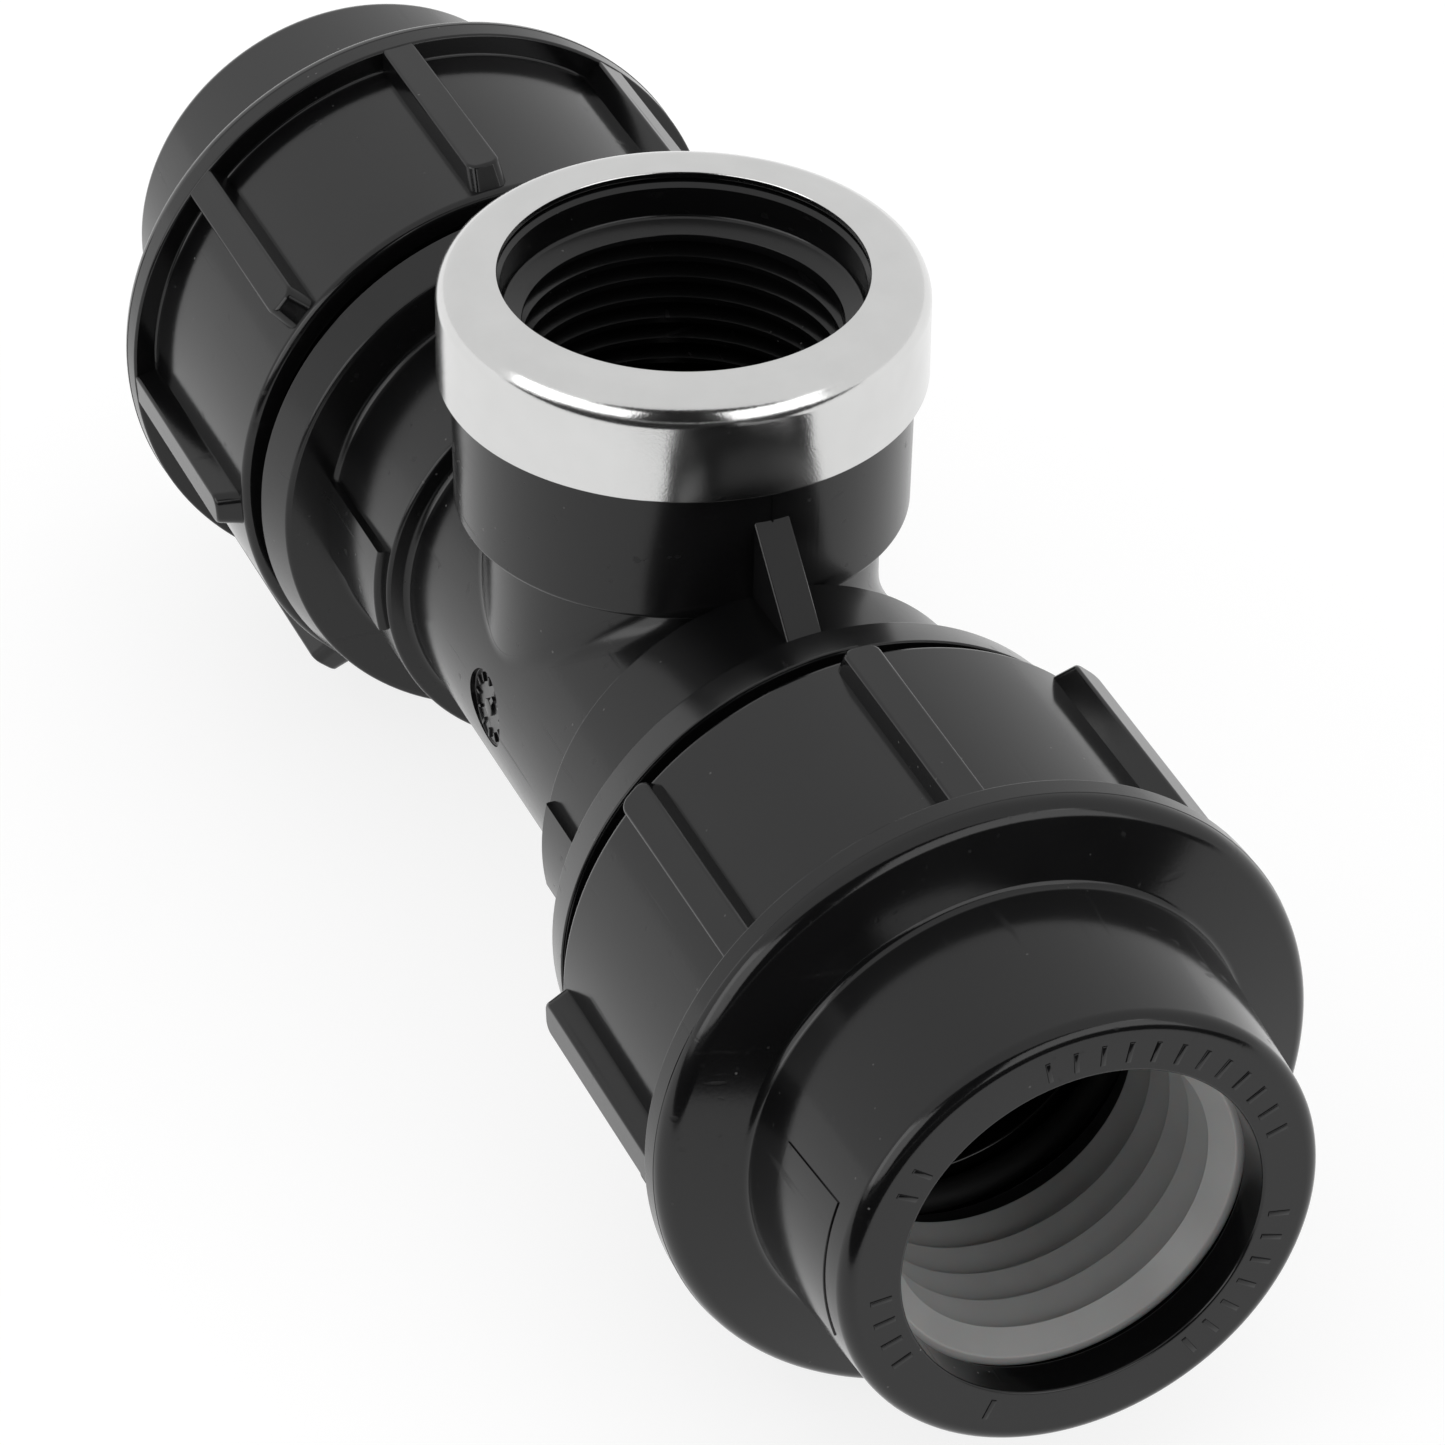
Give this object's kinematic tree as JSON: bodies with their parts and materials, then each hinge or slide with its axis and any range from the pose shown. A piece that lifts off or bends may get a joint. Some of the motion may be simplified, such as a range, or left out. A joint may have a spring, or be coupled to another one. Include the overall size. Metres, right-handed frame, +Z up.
{
  "type": "pipe tee fitting",
  "caption": "Plastic compression tee for water pipe: coupling nuts on both ends of the run and a female-threaded branch bound by a steel ring.",
  "frame": {"origin": "where the axis of the run crosses the axis of the branch", "axes": "+X along the run, +Z up the branch and out of its mouth, +Y across"},
  "size_m": [0.188, 0.064, 0.0772],
  "materials": {
    "black_plastic": "satin moulded",
    "stainless_steel": "bright pressed",
    "natural_acetal": "satin moulded",
    "grey_plastic": "satin moulded",
    "nitrile_rubber": "matt"
  },
  "bodies": {
    "tee": {"tee_body": "black_plastic", "reinforcing_ring": "stainless_steel", "o_ring_right": "nitrile_rubber", "o_ring_left": "nitrile_rubber"},
    "inserts_right": {"clinch_ring_right": "natural_acetal", "thrust_ring_right": "grey_plastic"},
    "inserts_left": {"clinch_ring_left": "natural_acetal", "thrust_ring_left": "grey_plastic"},
    "coupling_right": {"nut_right": "black_plastic"},
    "coupling_left": {"nut_left": "black_plastic"}
  },
  "joints": [
    {"name": "travel_right", "type": "slide", "parent": "tee", "child": "inserts_right", "axis": [1, 0, 0], "range_m": [-0.0015, 0.01626]},
    {"name": "travel_left", "type": "slide", "parent": "tee", "child": "inserts_left", "axis": [-1, 0, 0], "range_m": [-0.0015, 0.01626]},
    {"name": "spin_right", "type": "hinge", "parent": "inserts_right", "child": "coupling_right", "pos_m": [0, 0, 0], "axis": [1, 0, 0], "range_deg": [-107, 1170]},
    {"name": "spin_left", "type": "hinge", "parent": "inserts_left", "child": "coupling_left", "pos_m": [0, 0, 0], "axis": [-1, 0, 0], "range_deg": [-107, 1170]}
  ],
  "couplings": [
    {"joint": "travel_right", "follows": "spin_right", "m_per_rad": 0.00079577},
    {"joint": "travel_left", "follows": "spin_left", "m_per_rad": 0.00079577}
  ]
}
